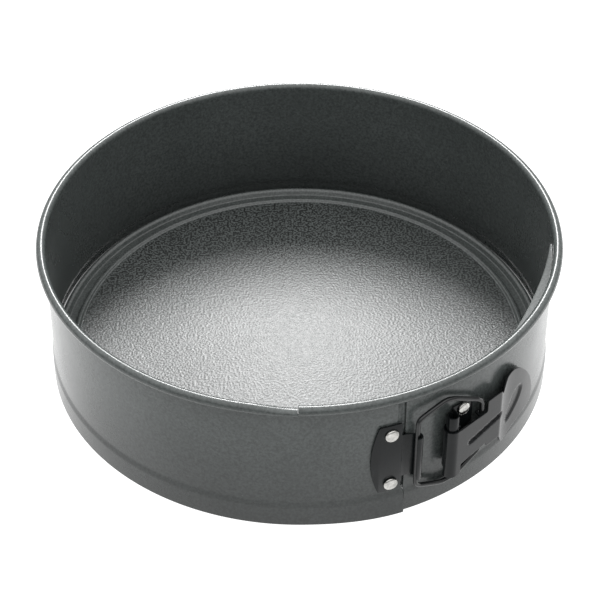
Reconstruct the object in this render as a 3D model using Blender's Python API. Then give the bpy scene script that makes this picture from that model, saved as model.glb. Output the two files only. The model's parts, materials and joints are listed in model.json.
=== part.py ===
"""Springform pan, 23 cm: a sprung steel side band closed by an over-centre lever and
wire bail round a loose pressed base. Metres, +Z up. The origin is on the pan's axis,
at the foot of the band's skirt. The latch sits round the -Y side, towards +X.

An angle round the pan is measured from -Y towards +X, in degrees, and an arc length is
that angle's run on the latch's reference radius ARC_RADIUS."""
import math

import bmesh
import bpy
from mathutils import Matrix, Vector

MM = 0.001
GAP = 0.3 * MM                       # clearance between neighbouring pieces

# side band
WALL_RADIUS = 116.4 * MM             # inside of the wall
BAND_SHEET = 0.7 * MM
BAND_HEIGHT = 72.0 * MM
SKIRT_STEP = 0.7 * MM                # how far the skirt stands outside the wall
SKIRT_TOP = 10.2 * MM
LEDGE_TOP = 14.6 * MM
SLIT_LOW = 15.6 * MM                 # the skirt and the wall part here at the band's ends
SLIT_HIGH = 16.0 * MM
LINK_LOW = 66.6 * MM                 # the wall and the rim part here
LINK_HIGH = 67.0 * MM
CURL_RADIUS = 2.25 * MM              # outside of the rolled rim
CURL_SET = 2.3 * MM                  # rim centre, outwards from the wall's inside
BAND_STEP = 4.5                      # degrees between stations round the band
SEAM = 22.7                          # where the two ends of the wall meet
SEAM_GAP = 0.3
RIM_SEAM = -0.3                      # where the rolled rim's ends meet
JOGGLE_START = 20.6                  # the inner end steps inwards from here
JOGGLE_END = 22.2                    # to here
TONGUE_TOUCH = 50.0                  # the tongue leaves the wall here
TONGUE_END = 88.0
TONGUE_BULGE = 3.0 * MM

# base
BASE_RADIUS = 116.7 * MM
BASE_SHEET = 0.8 * MM
BASE_TOP = 6.3 * MM                  # top of the flat middle
BASE_STEPS = 72

# latch
ARC_RADIUS = 117.0 * MM
LATCH_SHEET = 0.7 * MM
LEVER_SHEET = 0.8 * MM
WIRE_RADIUS = 1.1 * MM
PIVOT_ANGLE = 32.8
PIVOT_RADIUS = 121.5 * MM
TUBE_RADIUS = 2.7 * MM
LEG_ARC = 50.3 * MM                  # bail's leg, inside the keeper's hook
LEG_RADIUS = 121.0 * MM
EYE_ARC = 84.0 * MM                  # bail's ends, inside the lever's ears
EYE_RADIUS = 120.35 * MM
RIDGE_ANGLE = 46.4                   # bend between the lever's body and its finger pad
CURL_STEPS = 20
BODY_STEPS = 6
PAD_STEPS = 11
CURL_FRONT = 13                      # step of the curl where the tab begins
PAD_OUTLINE = ((0.0, 21.6), (2.4, 16.4), (4.6, 14.8), (8.4, 15.9), (18.9, 18.6), (27.1, 19.5),
               (30.4, 21.6), (31.2, 25.4), (29.1, 34.5), (23.2, 43.5), (16.3, 50.3), (10.6, 53.1),
               (6.4, 52.8), (3.9, 49.6), (1.9, 45.4), (0.0, 48.6))
HOOK_BORE = 1.65 * MM
HOOK_SET = 0.2 * MM                  # hook centre beyond the leg, towards the lever
RIVET_HEAD = 3.25 * MM
RIVET_SHANK = 1.6 * MM
KEEPER_RIVETS = ((39.8 * MM, 48.4 * MM), (39.8 * MM, 19.5 * MM))
HINGE_RIVETS = ((75.0 * MM, 48.8 * MM), (75.0 * MM, 26.0 * MM))
BAIL_FOOT = 16.8 * MM                # lower corner of the bail, at its leg
BAIL_DIP = 10.8 * MM                 # its lower arm dips under the lever's tab
BAIL_CREST = 60.2 * MM               # its upper arm humps over the pivot

WALL_OUTSIDE = WALL_RADIUS + BAND_SHEET
PLATE_INSIDE = WALL_OUTSIDE + GAP
PLATE_MIDDLE = PLATE_INSIDE + LATCH_SHEET / 2


def clear_scene():
    for item in list(bpy.data.objects):
        bpy.data.objects.remove(item, do_unlink=True)


def make_material(name, colour, roughness, metallic):
    material = bpy.data.materials.new(name)
    material.use_nodes = True
    shader = material.node_tree.nodes["Principled BSDF"]
    shader.inputs["Base Color"].default_value = (*colour, 1.0)
    shader.inputs["Roughness"].default_value = roughness
    shader.inputs["Metallic"].default_value = metallic
    return material


def add_object(name, bm, material, origin=(0, 0, 0)):
    """Close the mesh off as an object whose origin is at the given point."""
    bmesh.ops.remove_doubles(bm, verts=bm.verts, dist=0.00001)
    bmesh.ops.recalc_face_normals(bm, faces=bm.faces)
    bmesh.ops.translate(bm, verts=bm.verts, vec=-Vector(origin))
    mesh = bpy.data.meshes.new(name)
    bm.to_mesh(mesh)
    bm.free()
    mesh.shade_smooth()
    mesh.set_sharp_from_angle(angle=math.radians(35))
    mesh.materials.append(material)
    item = bpy.data.objects.new(name, mesh)
    item.location = origin
    bpy.context.collection.objects.link(item)
    return item


def polar(angle, radius, height=0.0):
    turn = math.radians(angle)
    return Vector((radius * math.sin(turn), -radius * math.cos(turn), height))


def arc_angle(arc):
    return math.degrees(arc / ARC_RADIUS)


def frame_at(angle):
    """Unit vectors along the band, towards +X from the front, and outwards."""
    turn = math.radians(angle)
    along = Vector((math.cos(turn), math.sin(turn), 0))
    outward = Vector((math.sin(turn), -math.cos(turn), 0))
    return along, outward


PIVOT = polar(PIVOT_ANGLE, PIVOT_RADIUS)
LEG = polar(arc_angle(LEG_ARC), LEG_RADIUS)
EYE = polar(arc_angle(EYE_ARC), EYE_RADIUS)
PIVOT_ALONG, PIVOT_OUTWARD = frame_at(PIVOT_ANGLE)


def ring_points(centre, radius, first, last, steps, along, outward):
    """Points on an arc about a vertical axis; angles run from along to outward."""
    points = []
    for step in range(steps + 1):
        turn = math.radians(first + (last - first) * step / steps)
        points.append(centre + radius * (math.cos(turn) * along + math.sin(turn) * outward))
    return points


def wall_points(first_arc, last_arc, radius, steps):
    arcs = [first_arc + (last_arc - first_arc) * step / steps for step in range(steps + 1)]
    return [polar(arc_angle(arc), radius) for arc in arcs]


def path_lengths(path):
    lengths = [0.0]
    for before, after in zip(path, path[1:]):
        lengths.append(lengths[-1] + (after - before).length)
    return lengths


def path_normals(path):
    """Outward offsets at each point of a path, lengthened at bends to keep a sheet's thickness."""
    normals = []
    for index, point in enumerate(path):
        before = path[max(index - 1, 0)]
        after = path[min(index + 1, len(path) - 1)]
        first = (point - before) if index else (after - point)
        second = (after - point) if index < len(path) - 1 else first
        first = Vector((first.y, -first.x, 0)).normalized()
        second = Vector((second.y, -second.x, 0)).normalized()
        middle = (first + second).normalized()
        normals.append(middle / max(middle.dot(first), 0.5))
    return normals


def bend_sheet(outlines, path, thickness):
    """Bend a flat sheet along a path seen from above.

    The outlines are polygons of (length along the path, height) that share edges. The
    sheet lies half its thickness to each side of the path."""
    lengths = path_lengths(path)
    normals = path_normals(path)
    bm = bmesh.new()
    for outline in outlines:
        bm.faces.new([bm.verts.new((along, height, 0)) for along, height in outline])
    bmesh.ops.remove_doubles(bm, verts=bm.verts, dist=0.00001)
    for length in lengths[1:-1]:
        bmesh.ops.bisect_plane(bm, geom=bm.verts[:] + bm.edges[:] + bm.faces[:], dist=0.000001,
                               plane_co=(length, 0, 0), plane_no=(1, 0, 0))
    bmesh.ops.triangulate(bm, faces=bm.faces)
    raised = bmesh.ops.extrude_face_region(bm, geom=bm.faces[:])["geom"]
    tops = [item for item in raised if isinstance(item, bmesh.types.BMVert)]
    bmesh.ops.translate(bm, verts=tops, vec=(0, 0, thickness))
    for vert in bm.verts:
        along = min(max(vert.co.x, 0.0), lengths[-1])
        index = next(i for i in range(1, len(lengths)) if along <= lengths[i] + 1e-9)
        share = (along - lengths[index - 1]) / (lengths[index] - lengths[index - 1])
        point = path[index - 1].lerp(path[index], share)
        normal = normals[index - 1].lerp(normals[index], share)
        offset = vert.co.z - thickness / 2
        vert.co = Vector((point.x, point.y, vert.co.y)) + normal * offset
    return bm


def turned(profile, steps, centre=(0, 0, 0), axis=(0, 0, 1)):
    """A closed (radius, height) outline turned about an axis."""
    bm = bmesh.new()
    verts = [bm.verts.new((radius, 0, height)) for radius, height in profile]
    edges = [bm.edges.new((a, b)) for a, b in zip(verts, verts[1:])]
    if profile[0][0] > 0:
        edges.append(bm.edges.new((verts[-1], verts[0])))
    bmesh.ops.spin(bm, geom=verts + edges, cent=(0, 0, 0), axis=(0, 0, 1), dvec=(0, 0, 0),
                   angle=2 * math.pi, steps=steps, use_merge=True)
    bmesh.ops.remove_doubles(bm, verts=bm.verts, dist=0.00001)
    turn = Vector((0, 0, 1)).rotation_difference(Vector(axis)).to_matrix().to_4x4()
    bmesh.ops.transform(bm, verts=bm.verts, matrix=Matrix.Translation(centre) @ turn)
    return bm


def band_section():
    """The band's section as cells that share edges: skirt, slit, wall, link and rim."""
    inside = WALL_RADIUS
    outside = WALL_OUTSIDE
    skirt_in = inside + SKIRT_STEP
    skirt_out = outside + SKIRT_STEP
    bend = 0.4 * MM
    skirt = [(skirt_in, 0), (skirt_out, 0), (skirt_out, SKIRT_TOP), (outside, LEDGE_TOP - bend),
             (outside, SLIT_LOW), (inside, SLIT_LOW), (inside, LEDGE_TOP + bend),
             (skirt_in, SKIRT_TOP + 1.5 * bend)]
    slit = [(inside, SLIT_LOW), (outside, SLIT_LOW), (outside, SLIT_HIGH), (inside, SLIT_HIGH)]
    wall = [(inside, SLIT_HIGH), (outside, SLIT_HIGH), (outside, LINK_LOW), (inside, LINK_LOW)]
    link = [(inside, LINK_LOW), (outside, LINK_LOW), (outside, LINK_HIGH), (inside, LINK_HIGH)]
    centre = (inside + CURL_SET, BAND_HEIGHT - CURL_RADIUS)
    rim = [(inside, LINK_HIGH)]
    rim += curl_arc(centre, CURL_RADIUS, 180, -100, 9)
    rim += curl_arc(centre, CURL_RADIUS - BAND_SHEET, -100, 180, 6)
    rim += [(outside, LINK_HIGH)]
    return skirt, slit, wall, link, rim


def curl_arc(centre, radius, first, last, steps):
    turns = [math.radians(first + (last - first) * step / steps) for step in range(steps + 1)]
    return [(centre[0] + radius * math.cos(t), centre[1] + radius * math.sin(t)) for t in turns]


def carry(bm, faces, turn, shift=0.0):
    """Extrude section faces round the pan's axis, moving them outwards by shift."""
    chosen = set(faces)
    neighbours = {other for face in faces for edge in face.edges for other in edge.link_faces}
    result = bmesh.ops.extrude_face_region(bm, geom=faces, use_keep_orig=True)["geom"]
    for vert in (item for item in result if isinstance(item, bmesh.types.BMVert)):
        radius = math.hypot(vert.co.x, vert.co.y)
        angle = math.degrees(math.atan2(vert.co.x, -vert.co.y))
        vert.co = polar(angle + turn, radius + shift, vert.co.z)
    if neighbours - chosen:
        bmesh.ops.delete(bm, geom=faces, context="FACES_ONLY")
    return [item for item in result if isinstance(item, bmesh.types.BMFace)]


def carry_far(bm, faces, turn, step=BAND_STEP):
    count = max(1, math.ceil(abs(turn) / step))
    for _ in range(count):
        faces = carry(bm, faces, turn / count)
    return faces


def faces_between(faces, low, high):
    return [face for face in faces if low < face.calc_center_median().z < high]


def make_side_band(material):
    """One strip rolled into a ring. The wall's ends meet at the seam, the rim runs on over
    the other end, and the inner end runs on inside as a plain tongue."""
    bm = bmesh.new()
    start = SEAM + SEAM_GAP / 2
    first = []
    for cell in band_section():
        verts = [bm.verts.new(polar(start, radius, height)) for radius, height in cell]
        first.append(bm.faces.new(verts))
    bmesh.ops.remove_doubles(bm, verts=bm.verts, dist=0.00001)
    rim_stop = 360 + RIM_SEAM - SEAM_GAP / 2
    faces = carry_far(bm, list(bm.faces), rim_stop - start)
    strip = faces_between(faces, 0, LINK_LOW)
    strip = carry_far(bm, strip, 360 + JOGGLE_START - rim_stop)
    skirt = faces_between(strip, 0, SLIT_LOW)
    inner_end = faces_between(strip, SLIT_HIGH, LINK_LOW)
    carry(bm, skirt, SEAM - SEAM_GAP / 2 - JOGGLE_START)
    make_tongue(bm, inner_end)
    rim = [face for face in first if face.is_valid and face.calc_center_median().z > LINK_HIGH]
    carry_far(bm, rim, RIM_SEAM + SEAM_GAP / 2 - start)
    band = add_object("side_band", bm, material)
    for arc, height in KEEPER_RIVETS + HINGE_RIVETS:
        cut_hole(band, arc, height, WALL_RADIUS - GAP / 2)
    return band


def make_tongue(bm, faces):
    """The inner end: stepped in by a sheet and a gap, then lying along the wall, then
    standing off it a little, as a sprung strip does, until its end touches the wall."""
    joggle_steps = 3
    margin = 0.05 * MM
    drop = -(BAND_SHEET + GAP + margin) / joggle_steps
    for _ in range(joggle_steps):
        faces = carry(bm, faces, (JOGGLE_END - JOGGLE_START) / joggle_steps, drop)
    faces = carry_far(bm, faces, TONGUE_TOUCH - JOGGLE_END)
    bulge_steps = 10
    before = 0.0
    for step in range(1, bulge_steps + 1):
        bulge = TONGUE_BULGE * math.sin(math.pi * step / bulge_steps)
        faces = carry(bm, faces, (TONGUE_END - TONGUE_TOUCH) / bulge_steps, before - bulge)
        before = bulge


def helper(name, bm):
    """An unseen solid that only shapes another piece."""
    bmesh.ops.recalc_face_normals(bm, faces=bm.faces)
    mesh = bpy.data.meshes.new(name)
    bm.to_mesh(mesh)
    bm.free()
    item = bpy.data.objects.new(name, mesh)
    item.hide_render = True
    item.display_type = "WIRE"
    bpy.context.collection.objects.link(item)
    return item


def shape_with(item, name, operation, bm):
    """Cut the item by a helper solid, or join the helper to it."""
    modifier = item.modifiers.new(name, "BOOLEAN")
    modifier.operation = operation
    modifier.object = helper(item.name + "_" + name, bm)


def cut_hole(item, arc, height, inner_radius):
    """A hole for a rivet's shank, from the given distance off the pan's axis outwards."""
    reach = 3.0 * MM
    size = RIVET_SHANK + GAP
    along, outward = frame_at(arc_angle(arc))
    bm = bmesh.new()
    bmesh.ops.create_cone(bm, cap_ends=True, segments=16, radius1=size, radius2=size, depth=reach)
    turn = Vector((0, 0, 1)).rotation_difference(outward).to_matrix().to_4x4()
    place = Matrix.Translation(polar(arc_angle(arc), inner_radius + reach / 2, height))
    bmesh.ops.transform(bm, verts=bm.verts, matrix=place @ turn)
    shape_with(item, "hole", "DIFFERENCE", bm)


def make_base_disc(material):
    """A pressed disc: flat middle, raised ring, channel and rolled edge."""
    top = [(0.0, 0.0), (106.2, 0.0), (107.0, 0.7), (108.2, 0.7), (109.2, -0.9), (113.0, -0.9),
           (114.0, 1.0), (115.0, 1.7), (116.0, 1.5), (BASE_RADIUS / MM, 0.6)]
    upper = [(radius * MM, BASE_TOP + rise * MM) for radius, rise in top]
    lower = [(radius, height - BASE_SHEET) for radius, height in reversed(upper)]
    bm = turned(upper + lower, BASE_STEPS)
    return add_object("base_disc", bm, material)


def make_keeper_plate(material):
    """Riveted to the band's inner end; its neck rises off the wall and curls into a hook
    that is open on the side away from the lever."""
    left, neck, foot = 30.7 * MM, 44.6 * MM, 46.6 * MM
    low, high = 15.0 * MM, 53.8 * MM
    neck_low, neck_high = 22.2 * MM, 46.6 * MM
    along, outward = frame_at(arc_angle(LEG_ARC))
    centre = LEG + HOOK_SET * along
    bend = HOOK_BORE + LATCH_SHEET / 2
    path = wall_points(left, foot, PLATE_MIDDLE, 8)
    path += ring_points(centre, bend, -100, 100, 10, along, outward)
    end = path_lengths(path)[-1]
    neck_run = (neck - left) * PLATE_MIDDLE / ARC_RADIUS
    edge_steps, edge_bow = 6, 3.6 * MM
    edge = []
    for step in range(edge_steps + 1):
        share = step / edge_steps
        edge.append((edge_bow * (2 * share - 1) ** 2, low + (high - low) * share))
    outline = [(neck_run, low), (neck_run, neck_low), (end, neck_low), (end, neck_high),
               (neck_run, neck_high), (neck_run, high)] + edge[::-1]
    bm = bend_sheet([outline], path, LATCH_SHEET)
    plate = add_object("keeper_plate", bm, material)
    for arc, height in KEEPER_RIVETS:
        cut_hole(plate, arc, height, WALL_RADIUS)
    return plate


def make_hinge_plate(material):
    """Riveted to the band's outer end. Two webs stand off the plate and carry a rolled
    tube, which is the lever's pivot."""
    right, corner = 80.5 * MM, 4.0 * MM
    low, high = 15.5 * MM, 52.0 * MM
    tube_low, tube_high = 20.6 * MM, 51.3 * MM
    web_low, web_high = 22.4 * MM, 44.2 * MM
    tube_steps = 16
    bend = TUBE_RADIUS - LATCH_SHEET / 2
    path = ring_points(PIVOT, bend, 305, 0, tube_steps, PIVOT_ALONG, PIVOT_OUTWARD)
    web_angle = PIVOT_ANGLE + math.degrees(bend / PLATE_MIDDLE)
    path += wall_points(math.radians(web_angle) * ARC_RADIUS, right, PLATE_MIDDLE, 5)
    lengths = path_lengths(path)
    tube_end, web_end, end = lengths[tube_steps], lengths[tube_steps + 1], lengths[-1]
    tube_face = [(0, tube_low), (tube_end, tube_low), (tube_end, web_low), (tube_end, web_high),
                 (tube_end, tube_high), (0, tube_high)]
    lower_web = [(tube_end, tube_low), (web_end, tube_low), (web_end, web_low), (tube_end, web_low)]
    upper_web = [(tube_end, web_high), (web_end, web_high), (web_end, tube_high), (tube_end, tube_high)]
    plate_face = [(web_end, low), (end - corner, low), (end, low + corner), (end, high - corner),
                  (end - corner, high), (web_end, high), (web_end, tube_high), (web_end, web_high),
                  (web_end, web_low), (web_end, tube_low)]
    bm = bend_sheet([tube_face, lower_web, upper_web, plate_face], path, LATCH_SHEET)
    plate = add_object("hinge_plate", bm, material)
    for arc, height in HINGE_RIVETS:
        cut_hole(plate, arc, height, WALL_RADIUS)
    return plate


def make_rivet(name, arc, height, material, inner_head):
    """A domed head over the plate and a shank through the band, closed over inside."""
    seat = PLATE_INSIDE + LATCH_SHEET + GAP
    edge, dome = 0.3 * MM, 1.1 * MM
    steps = 5
    profile = []
    for step in range(steps + 1):
        turn = math.pi / 2 * step / steps
        profile.append((RIVET_HEAD * math.sin(turn), seat + edge + dome * math.cos(turn)))
    profile += [(RIVET_HEAD, seat), (RIVET_SHANK, seat)]
    if inner_head:
        seat = WALL_RADIUS - GAP
        face = seat - 0.5 * MM
        profile += [(RIVET_SHANK, seat), (2.4 * MM, seat), (2.1 * MM, face), (0, face)]
    else:
        flush = WALL_RADIUS + 0.05 * MM
        profile += [(RIVET_SHANK, flush), (0, flush)]
    bm = turned(profile, 20, centre=(0, 0, height), axis=frame_at(arc_angle(arc))[1])
    return add_object(name, bm, material)


def lever_path():
    """Seen from above: a curl round the hinge plate's tube, a straight run down to the
    ridge, and a finger pad that follows the wall."""
    curl = TUBE_RADIUS + GAP + LEVER_SHEET / 2
    wrap = 300
    pad_radius, ridge_rise = 119.5 * MM, 2.3 * MM
    ridge_arc, pad_end = math.radians(RIDGE_ANGLE) * ARC_RADIUS, 127.0 * MM
    ridge = polar(RIDGE_ANGLE, pad_radius + ridge_rise)
    span = ridge - PIVOT
    lean = math.degrees(math.atan2(span.dot(PIVOT_OUTWARD), span.dot(PIVOT_ALONG)))
    leave = 90 + lean - math.degrees(math.asin(curl / span.length))
    points = ring_points(PIVOT, curl, leave + wrap, leave, CURL_STEPS, PIVOT_ALONG, PIVOT_OUTWARD)
    points += [points[-1].lerp(ridge, step / BODY_STEPS) for step in range(1, BODY_STEPS + 1)]
    for step in range(1, PAD_STEPS + 1):
        share = step / PAD_STEPS
        radius = pad_radius + ridge_rise * (1 - share) ** 6
        points.append(polar(arc_angle(ridge_arc + (pad_end - ridge_arc) * share), radius))
    return points


def make_lever(material):
    """Stamped sheet: a curl with a tab below it at the front, a body that widens, and a pad."""
    lengths = path_lengths(lever_path())
    curl_end, ridge = lengths[CURL_STEPS], lengths[CURL_STEPS + BODY_STEPS]
    curl_front = lengths[CURL_FRONT]
    tab_low, tab_end = 17.2 * MM, curl_end + 2.6 * MM
    curl_low, curl_high = 22.8 * MM, 43.8 * MM
    neck, neck_low, neck_high = ridge - 9.4 * MM, 24.0 * MM, 42.8 * MM
    wide_low, wide_high, slant = 21.6 * MM, 49.0 * MM, 1.0 * MM
    curl = [(0, curl_low), (curl_front, curl_low), (curl_end, curl_low), (curl_end, curl_high),
            (0, curl_high)]
    tab = [(curl_front, tab_low), (tab_end, tab_low), (tab_end, curl_low), (curl_end, curl_low),
           (curl_front, curl_low)]
    body = [(curl_end, curl_low), (tab_end, curl_low), (neck, neck_low), (neck + slant, wide_low)]
    body += [(ridge + past * MM, height * MM) for past, height in PAD_OUTLINE]
    body += [(neck, wide_high), (neck, neck_high), (curl_end, curl_high)]
    bm = bend_sheet([curl, tab, body], lever_path(), LEVER_SHEET)
    lever = add_object("lever", bm, material, PIVOT)
    add_ear(lever, 24.4 * MM)
    add_ear(lever, 42.0 * MM)
    return lever


def add_ear(lever, low):
    """A small ear folded in from the lever's back, with the hole for one end of the bail."""
    length, depth, inset = 4.6 * MM, 3.6 * MM, 0.05 * MM
    centre = EYE + Vector((0, 0, low + LEVER_SHEET / 2))
    bm = bmesh.new()
    bmesh.ops.create_cube(bm, size=1.0)
    bmesh.ops.scale(bm, verts=bm.verts, vec=(length, depth, LEVER_SHEET))
    turn = Matrix((PIVOT_ALONG, PIVOT_OUTWARD, (0, 0, 1))).transposed().to_4x4()
    place = Matrix.Translation(centre - inset * PIVOT_OUTWARD)
    bmesh.ops.transform(bm, verts=bm.verts, matrix=place @ turn)
    shape_with(lever, "ear", "UNION", bm)
    bm = bmesh.new()
    radius = WIRE_RADIUS + GAP
    bmesh.ops.create_cone(bm, cap_ends=True, segments=16, radius1=radius, radius2=radius,
                          depth=3 * LEVER_SHEET)
    bmesh.ops.translate(bm, verts=bm.verts, vec=centre)
    shape_with(lever, "ear_hole", "DIFFERENCE", bm)


def rounded_path(corners, radius, steps=5):
    """A polyline with its inner corners turned into short curves."""
    points = [corners[0]]
    for before, corner, after in zip(corners, corners[1:], corners[2:]):
        back = before - corner
        ahead = after - corner
        reach = min(radius, 0.45 * back.length, 0.45 * ahead.length)
        first = corner + back.normalized() * reach
        last = corner + ahead.normalized() * reach
        for step in range(steps + 1):
            share = step / steps
            points.append(first.lerp(corner, share).lerp(corner.lerp(last, share), share))
    points.append(corners[-1])
    return points


def make_wire_bail(material):
    """One bent wire: a leg in the keeper's hook, an upper arm that humps over the pivot, a
    lower arm that dips under it, and two ends turned into the lever's ears."""
    span = EYE - LEG

    def at(share, height):
        return LEG + span * share + Vector((0, 0, height))

    lower = [at(1, 26.2 * MM), at(1, 20.6 * MM), at(0.62, BAIL_DIP + 0.8 * MM), at(0.42, BAIL_DIP),
             at(0, BAIL_FOOT)]
    upper = [at(0, 55.6 * MM), at(0.16, 57.6 * MM), at(0.42, BAIL_CREST), at(0.55, 58.8 * MM),
             at(0.93, 51.4 * MM), at(1, 49.0 * MM), at(1, 41.2 * MM)]
    curve = bpy.data.curves.new("wire_bail", "CURVE")
    curve.dimensions = "3D"
    curve.bevel_depth = WIRE_RADIUS
    curve.bevel_resolution = 3
    curve.use_fill_caps = True
    points = rounded_path(lower + upper, 3.2 * MM)
    spline = curve.splines.new("POLY")
    spline.points.add(len(points) - 1)
    for target, point in zip(spline.points, points):
        target.co = (*(point - EYE), 1.0)
    curve.materials.append(material)
    item = bpy.data.objects.new("wire_bail", curve)
    item.location = EYE
    bpy.context.collection.objects.link(item)
    return item


def main():
    clear_scene()
    coated = make_material("coated steel band", (0.13, 0.14, 0.14), 0.32, 0.6)
    grained = make_material("grained coated base", (0.2, 0.21, 0.21), 0.4, 0.6)
    black = make_material("black plated steel", (0.05, 0.05, 0.055), 0.35, 0.7)
    bright = make_material("bright steel rivet", (0.75, 0.74, 0.72), 0.25, 1.0)
    wire = make_material("black wire", (0.04, 0.04, 0.045), 0.3, 0.7)
    make_side_band(coated)
    make_base_disc(grained)
    make_keeper_plate(black)
    make_hinge_plate(black)
    for name, (arc, height) in zip(("keeper_rivet_upper", "keeper_rivet_lower"), KEEPER_RIVETS):
        make_rivet(name, arc, height, bright, True)
    for name, (arc, height) in zip(("hinge_rivet_upper", "hinge_rivet_lower"), HINGE_RIVETS):
        make_rivet(name, arc, height, bright, False)
    make_lever(black)
    make_wire_bail(wire)


main()
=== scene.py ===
import json
import math

import bmesh
import bpy
from mathutils import Matrix, Vector


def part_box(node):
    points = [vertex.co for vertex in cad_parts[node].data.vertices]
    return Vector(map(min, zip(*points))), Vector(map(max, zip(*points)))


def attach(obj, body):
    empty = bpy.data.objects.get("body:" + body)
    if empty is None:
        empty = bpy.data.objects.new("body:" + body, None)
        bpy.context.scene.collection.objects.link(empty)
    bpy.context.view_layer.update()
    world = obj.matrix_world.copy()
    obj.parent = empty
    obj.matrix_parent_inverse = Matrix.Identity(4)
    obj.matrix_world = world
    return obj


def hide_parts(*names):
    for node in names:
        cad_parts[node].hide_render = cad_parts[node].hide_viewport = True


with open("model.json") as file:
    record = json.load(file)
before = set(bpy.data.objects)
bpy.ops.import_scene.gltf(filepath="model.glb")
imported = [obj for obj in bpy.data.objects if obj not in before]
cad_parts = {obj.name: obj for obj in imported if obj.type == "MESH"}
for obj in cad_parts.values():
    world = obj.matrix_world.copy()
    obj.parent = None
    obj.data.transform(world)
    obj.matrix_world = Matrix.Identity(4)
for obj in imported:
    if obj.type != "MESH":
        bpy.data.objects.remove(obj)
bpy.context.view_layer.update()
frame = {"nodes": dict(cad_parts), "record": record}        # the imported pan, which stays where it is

mm = 0.001
print("springform pan:", len(frame["nodes"]), "packed parts loaded")


# Angles go round the pan from the front (-Y) towards +X, in degrees. Lengths round the
# pan are arcs on a circle of arcRadius, so that the latch can be laid out flat.
arcRadius = 117.0 * mm


def polar(angle, radius, height=0.0):
    turn = math.radians(angle)
    return Vector((radius * math.sin(turn), -radius * math.cos(turn), height))


def angleAt(arc):
    return math.degrees(arc / arcRadius)


def angleOf(point):
    return math.degrees(math.atan2(point.x, -point.y))


def directionsAt(angle):
    turn = math.radians(angle)
    along = Vector((math.cos(turn), math.sin(turn), 0))
    outward = Vector((math.sin(turn), -math.cos(turn), 0))
    return along, outward


def smoothStep(low, high, value):
    share = min(max((value - low) / (high - low), 0.0), 1.0)
    return share * share * (3 - 2 * share)


def wallRun(firstArc, lastArc, radius, steps):
    arcs = [firstArc + (lastArc - firstArc) * step / steps for step in range(steps + 1)]
    return [polar(angleAt(arc), radius) for arc in arcs]


def filletLine(points, radius, steps=5):
    # corners of an open line turned into short curves
    line = [points[0]]
    for before, corner, after in zip(points, points[1:], points[2:]):
        back = before - corner
        ahead = after - corner
        reach = min(radius, 0.45 * back.length, 0.45 * ahead.length)
        first = corner + back.normalized() * reach
        last = corner + ahead.normalized() * reach
        for step in range(steps + 1):
            share = step / steps
            line.append(first.lerp(corner, share).lerp(corner.lerp(last, share), share))
    line.append(points[-1])
    return line


def filletLoop(points, radius, steps=4):
    # the same for a closed outline
    closed = [(points[-1] + points[0]) / 2] + points + [(points[-1] + points[0]) / 2]
    return filletLine(closed, radius, steps)[:-1]


# materials
def colour(hexText):
    # sRGB hex to linear RGBA
    parts = [int(hexText[start:start + 2], 16) / 255 for start in (1, 3, 5)]
    linear = [part / 12.92 if part <= 0.04045 else ((part + 0.055) / 1.055) ** 2.4 for part in parts]
    return (*linear, 1.0)


def addNode(tree, kind, settings=None, links=None, stops=None):
    # settings go to sockets, or to the node's own options where it has no such socket
    node = tree.nodes.new("ShaderNode" + kind)
    options = {key: value for key, value in (settings or {}).items() if hasattr(node, str(key))}
    for key, value in options.items():
        setattr(node, key, value)
    for key, value in (settings or {}).items():
        if key not in options:
            node.inputs[key].default_value = value
    for key, source in (links or {}).items():
        tree.links.new(source, node.inputs[key])
    for index, (position, value) in enumerate(stops or []):
        elements = node.color_ramp.elements
        element = elements[index] if index < len(elements) else elements.new(position)
        element.position = position
        element.color = colour(value) if isinstance(value, str) else (value, value, value, 1.0)
    return node.outputs[0] if node.outputs else node


def newMaterial(name, settings):
    material = bpy.data.materials.new(name)
    material.use_nodes = True
    tree = material.node_tree
    tree.nodes.clear()
    shader = tree.nodes.new("ShaderNodeBsdfPrincipled")
    for key, value in settings.items():
        shader.inputs[key].default_value = value
    addNode(tree, "OutputMaterial", links={"Surface": shader.outputs["BSDF"]})
    place = tree.nodes.new("ShaderNodeTexCoord").outputs["Object"]
    return material, tree, shader, place


def grainScale(size):
    # noise scale for blotches or grains of this width
    return 0.6 / size


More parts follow.
